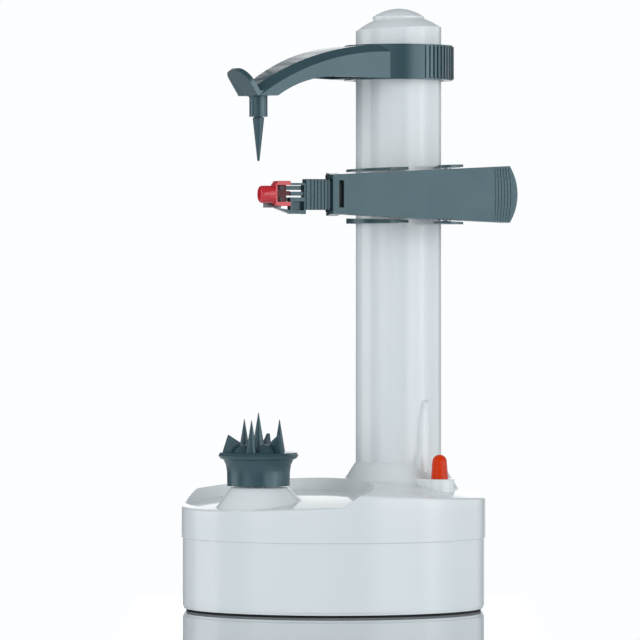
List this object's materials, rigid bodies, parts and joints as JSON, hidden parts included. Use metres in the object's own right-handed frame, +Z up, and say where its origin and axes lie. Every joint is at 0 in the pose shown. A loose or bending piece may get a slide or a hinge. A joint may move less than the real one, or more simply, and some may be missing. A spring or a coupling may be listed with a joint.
{
  "type": "electric potato peeler",
  "caption": "Countertop electric peeler: oval base with a spiked turning holder, a column carrying a swinging peeling lever, and a sliding arm with a centre pin.",
  "frame": {"origin": "middle of the base's oval outline, on the surface it stands on", "axes": "+Z up along the column, +X along the oval base's long axis towards the grip end of the lever, +Y towards the back of the base"},
  "size_m": [0.1612, 0.109, 0.2898],
  "materials": {
    "white_shell": "gloss",
    "teal_plastic": "satin",
    "red_guard": "gloss",
    "orange_button": "translucent gloss",
    "foot_rubber": "matt",
    "steel": "plain",
    "blade_steel": "ground",
    "dark_steel": "dark",
    "nylon": "satin",
    "brass": "plain",
    "cell_jacket": "gloss",
    "board": "satin",
    "black_plastic": "satin"
  },
  "bodies": {
    "housing": {"upper_shell": "white_shell", "lower_shell": "white_shell", "foot_ring": "foot_rubber", "shell_screws": "steel", "batteries": "cell_jacket", "battery_contacts": "steel", "dc_jack": "black_plastic", "circuit_board": "board", "start_switch": "black_plastic", "button_spring": "steel", "gear_plate": "nylon", "plate_screws": "steel", "motor": "steel", "gear_axle": "steel", "spindle_bush": "brass", "screw_guide": "nylon", "column_tube": "white_shell", "column_cap": "white_shell", "column_fin": "white_shell"},
    "battery_door": {"battery_door": "white_shell"},
    "start_button": {"start_button": "orange_button"},
    "motor_rotor": {"motor_shaft": "steel", "motor_pinion": "brass"},
    "transfer": {"transfer_gear": "nylon"},
    "spindle": {"spindle": "steel", "spindle_gear": "nylon", "food_holder": "teal_plastic"},
    "screw": {"lead_screw": "steel", "screw_gear": "nylon"},
    "carriage": {"peel_carriage": "teal_plastic", "drive_nut": "nylon", "nut_screws": "steel", "pivot_pin": "steel", "arm_spring": "steel"},
    "lever": {"peel_lever": "teal_plastic"},
    "cutter": {"cutter_sleeve": "teal_plastic", "blade_fork": "teal_plastic", "blade_guard": "red_guard", "blade": "blade_steel", "blade_pins": "dark_steel"},
    "arm": {"upper_arm": "teal_plastic", "arm_liner": "nylon"},
    "centre_pin": {"upper_pin": "teal_plastic", "pin_clip": "steel"}
  },
  "joints": [
    {"name": "spindle_spin", "type": "hinge", "parent": "housing", "child": "spindle", "pos_m": [-0.0357, -0.025, 0.06], "axis": [0, 0, 1], "continuous": true},
    {"name": "transfer_spin", "type": "hinge", "parent": "housing", "child": "transfer", "pos_m": [0.00181, -0.01431, 0.038], "axis": [0, 0, 1], "continuous": true},
    {"name": "screw_spin", "type": "hinge", "parent": "housing", "child": "screw", "pos_m": [0.0315, 0.0195, 0.1], "axis": [0, 0, 1], "continuous": true},
    {"name": "rotor_spin", "type": "hinge", "parent": "housing", "child": "motor_rotor", "pos_m": [0.02326, -0.03231, 0.043], "axis": [0, 0, 1], "continuous": true},
    {"name": "arm_slide", "type": "slide", "parent": "housing", "child": "arm", "axis": [0, 0, 1], "range_m": [-0.038, 0.004]},
    {"name": "pin_spin", "type": "hinge", "parent": "arm", "child": "centre_pin", "pos_m": [-0.0357, -0.025, 0.236], "axis": [0, 0, 1], "continuous": true},
    {"name": "peel_slide", "type": "slide", "parent": "housing", "child": "carriage", "axis": [0, 0, 1], "range_m": [-0.095, 0]},
    {"name": "peel_swing", "type": "hinge", "parent": "carriage", "child": "lever", "pos_m": [0.054, -0.008, 0.1991], "axis": [0, 0, 1], "range_deg": [0, 35], "stiffness_Nm_per_rad": 0.04, "springref_deg": -5.73},
    {"name": "cutter_slide", "type": "slide", "parent": "lever", "child": "cutter", "axis": [-0.9511, -0.309, 0], "range_m": [0, 0.01]},
    {"name": "button_press", "type": "slide", "parent": "housing", "child": "start_button", "axis": [0, 0, 1], "range_m": [-0.002, 0], "stiffness_N_per_m": 350, "springref_m": 0.0005, "deforming": ["button_spring"]},
    {"name": "door_swing", "type": "hinge", "parent": "housing", "child": "battery_door", "pos_m": [-0.026, -0.025, 0.0025], "axis": [1, 0, 0], "range_deg": [-75, 0]}
  ],
  "couplings": [
    {"joint": "transfer_spin", "follows": "spindle_spin", "ratio": -0.625},
    {"joint": "screw_spin", "follows": "spindle_spin", "ratio": 0.71429},
    {"joint": "rotor_spin", "follows": "spindle_spin", "ratio": 2.2917}
  ]
}
